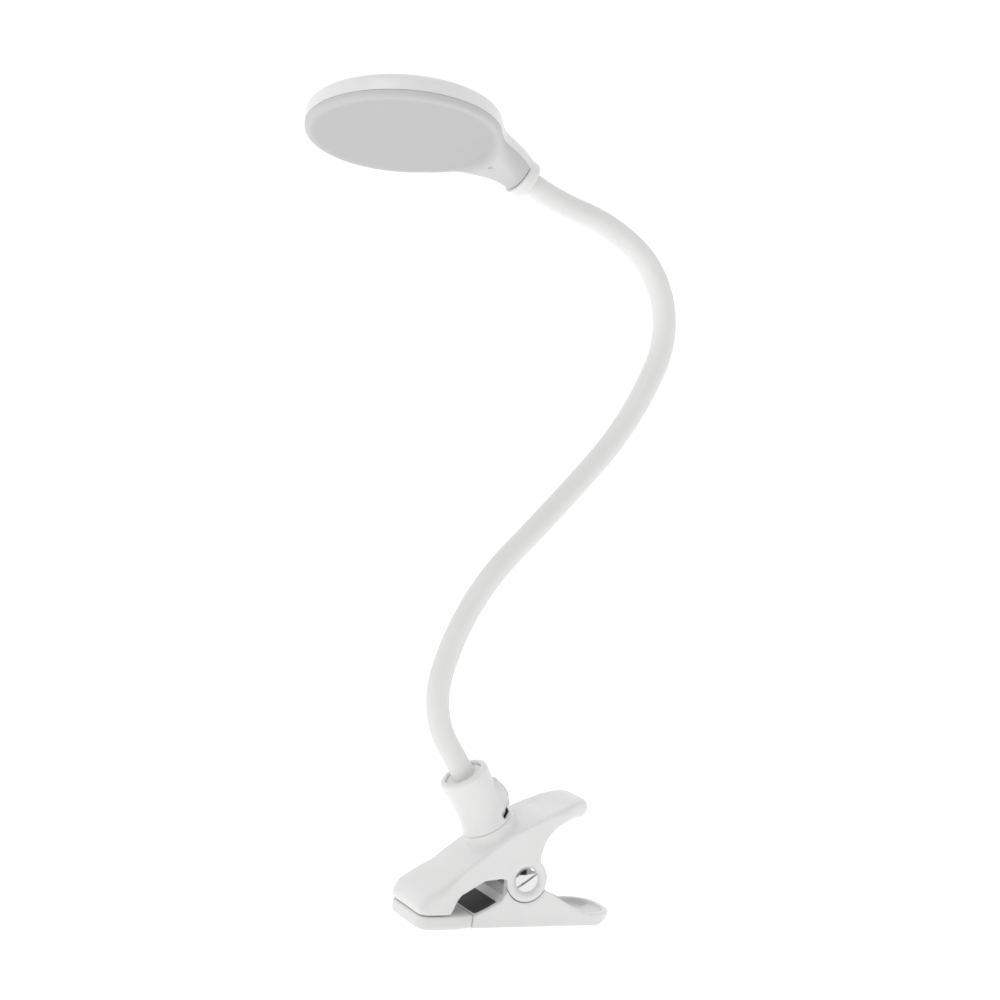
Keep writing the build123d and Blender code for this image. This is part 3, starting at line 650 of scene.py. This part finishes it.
def make_screw_head():
    """The pivot screw's polished, slightly domed head with its slot, over its plain shank."""
    pivot = Vector((0, 0, PIVOT_Z * MM))
    out = Vector((0, -1, 0))
    side = Vector((1, 0, 0))
    face = -15.0
    dome_r = 5.0
    rings = 14
    dome = [(0.02, face + 0.02)]
    for i in range(1, rings + 1):
        r = dome_r * i / rings
        dome.append((r, face + 0.02 + 0.62 * (r / dome_r) ** 2))
    dome += [(5.45, face + 0.95), (5.5, face + 1.3), (5.5, face + 2.1), (0.02, face + 2.1)]
    verts, faces = lathe([(r * MM, -h * MM) for r, h in dome], pivot, out, side, 96)
    head = make_object("screw_head", verts, faces, "chrome", 30)
    shank_profile = [(0.02, -12.9), (2.45, -12.9), (2.45, 13.7), (0.02, 13.7)]
    verts, faces = lathe([(r * MM, -h * MM) for r, h in shank_profile], pivot, out, side, 48)
    shank = make_object("screw_shank", verts, faces, "steel", 30)
    bpy.ops.mesh.primitive_cube_add(size=1)
    cutter = bpy.context.object
    cutter.scale = (14 * MM, 2.4 * MM, 1.05 * MM)
    cutter.rotation_euler = (0, radians(-35), 0)
    cutter.location = (0, (face + 0.2) * MM, PIVOT_Z * MM)
    cut = head.modifiers.new("slot", "BOOLEAN")
    cut.object = cutter
    cut.solver = "EXACT"
    dg = bpy.context.evaluated_depsgraph_get()
    me = bpy.data.meshes.new_from_object(head.evaluated_get(dg))
    head.modifiers.clear()
    head.data = me
    smooth(head, 30)
    bpy.data.objects.remove(cutter)
    for ob, slot in ((head, "chrome"), (shank, "steel")):
        paint(ob, slot)
        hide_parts("pivot_screw")
        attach(ob, BODY_OF["pivot_screw"])


make_neck_sleeve()
make_head()
make_spring()


def ease(v, a, b):
    return float(step(v, a, b))


def worn_upper(p):
    """The thumb paddle's tip and the nose are rounder than the rest."""
    x, z = p.x / MM, p.z / MM
    tip = ease(x, 6.0, 22.0) * ease(z, 40.0, 45.0)
    nose = ease(-x, 28.0, 38.0) * ease(z, 8.5, 12.0)
    return max(tip, nose)


def worn_lower(p):
    return ease(p.x / MM, 34.0, 42.0) * 0.6


soft_copy("upper_jaw", 0.42, 16, worn=worn_upper, worn_passes=220)
soft_copy("lower_jaw", 0.42, 8, worn=worn_lower, worn_passes=10,
          fill=(((39.5, 1.1), (44.6, 3.1), (44.6, 4.1), (39.5, 2.7)), 7.0))
soft_copy("lower_jaw_pad", 0.4, 16)
soft_copy("neck_socket", 0.35, 8)
make_screw_head()
# painted shade on the diffuser: darker over the flat, lighter towards the rim
paint_diffuser_shade("diffuser", head_frame()[0], 0.0355, 0.0415, 0.61, 0.80)


# ------------------------------------------------------------ camera, light, floor
FLOOR_GLOW = 0.45
CARD = (0.17, -1.13, 0.215)
TENT_FRONT = 0.38
TENT_BACK = 1.05
KEY = 5.0
SIDE = 1.5
LIGHT_AIM = (0, 0, 0.15)
CAMERA_AZIMUTH = radians(-26)
CAMERA_HEIGHT = radians(5)
CAMERA_ROLL = radians(-6)
CAMERA_TARGET = Vector((-0.0249, 0, 0.1819))


def make_camera():
    cam = bpy.data.objects.new("camera", bpy.data.cameras.new("camera"))
    bpy.context.scene.collection.objects.link(cam)
    az, el, roll = CAMERA_AZIMUTH, CAMERA_HEIGHT, CAMERA_ROLL
    back = Vector((sin(az) * cos(el), -cos(az) * cos(el), sin(el)))
    right0 = Vector((cos(az), sin(az), 0))
    up0 = back.cross(right0)
    right = right0 * cos(roll) - up0 * sin(roll)
    up = right0 * sin(roll) + up0 * cos(roll)
    target = CAMERA_TARGET
    cam.matrix_world = Matrix((
        (right.x, up.x, back.x, target.x + back.x),
        (right.y, up.y, back.y, target.y + back.y),
        (right.z, up.z, back.z, target.z + back.z),
        (0, 0, 0, 1),
    ))
    cam.data.lens = 85
    cam.data.sensor_width = 36
    cam.data.clip_start = 0.01
    cam.data.clip_end = 20
    bpy.context.scene.camera = cam


def area_light(name, place, size, power):
    d = bpy.data.lights.new(name, "AREA")
    d.energy = power
    d.size = size
    o = bpy.data.objects.new(name, d)
    bpy.context.scene.collection.objects.link(o)
    o.location = place
    o.rotation_euler = (Vector(LIGHT_AIM) - Vector(place)).to_track_quat("-Z", "Y").to_euler()


def make_stage():
    m, nt, sh = new_material("floor")
    n = noise(nt, 6.0, 2.0)
    col = ramp(nt, n.outputs["Fac"], (0.90, 0.90, 0.90), (0.92, 0.92, 0.92))
    nt.links.new(col.outputs["Color"], sh.inputs["Base Color"])
    sh.inputs["Roughness"].default_value = 0.9
    sh.inputs["Specular IOR Level"].default_value = 0.1
    sh.inputs["Emission Color"].default_value = (1, 1, 1, 1)
    sh.inputs["Emission Strength"].default_value = FLOOR_GLOW
    bpy.ops.mesh.primitive_plane_add(size=12, location=(0, 0, -0.0001))
    floor = bpy.context.object
    floor.name = "floor"
    floor.data.materials.append(m)
    # a light tent: bright behind and overhead, dimmer where the camera stands
    w = bpy.data.worlds.new("world")
    bpy.context.scene.world = w
    w.use_nodes = True
    nt = w.node_tree
    bg = nt.nodes["Background"]
    tc = nt.nodes.new("ShaderNodeTexCoord")
    dot = nt.nodes.new("ShaderNodeVectorMath")
    dot.operation = "DOT_PRODUCT"
    dot.inputs[1].default_value = (0.42, 0.86, 0.25)
    nt.links.new(tc.outputs["Generated"], dot.inputs[0])
    r = nt.nodes.new("ShaderNodeValToRGB")
    for element, position, v in zip(r.color_ramp.elements, (0.0, 1.0), (TENT_FRONT, TENT_BACK)):
        element.position = position
        element.color = (v, v, v, 1)
    mp = nt.nodes.new("ShaderNodeMapRange")
    mp.inputs["From Min"].default_value = -0.7
    mp.inputs["From Max"].default_value = 0.7
    nt.links.new(dot.outputs["Value"], mp.inputs["Value"])
    nt.links.new(mp.outputs["Result"], r.inputs["Fac"])
    nt.links.new(r.outputs["Color"], bg.inputs["Color"])
    bg.inputs["Strength"].default_value = 1.0
    area_light("key", (-1.1, -0.7, 1.2), 0.7, KEY)
    area_light("side", (1.2, -0.9, 0.7), 0.4, SIDE)
    m, nt, sh = new_material("card")
    n = noise(nt, 5.0, 2.0)
    col = ramp(nt, n.outputs["Fac"], (0.010, 0.010, 0.010), (0.014, 0.014, 0.014))
    nt.links.new(col.outputs["Color"], sh.inputs["Base Color"])
    sh.inputs["Roughness"].default_value = 0.9
    bpy.ops.mesh.primitive_plane_add(size=0.56, location=CARD)
    card = bpy.context.object
    card.name = "card"
    facing = Vector((0, 0, PIVOT_Z * MM)) - Vector(CARD)
    card.rotation_euler = facing.to_track_quat("Z", "Y").to_euler()
    card.data.materials.append(m)
    bpy.context.scene.view_settings.view_transform = "Standard"


make_camera()
make_stage()
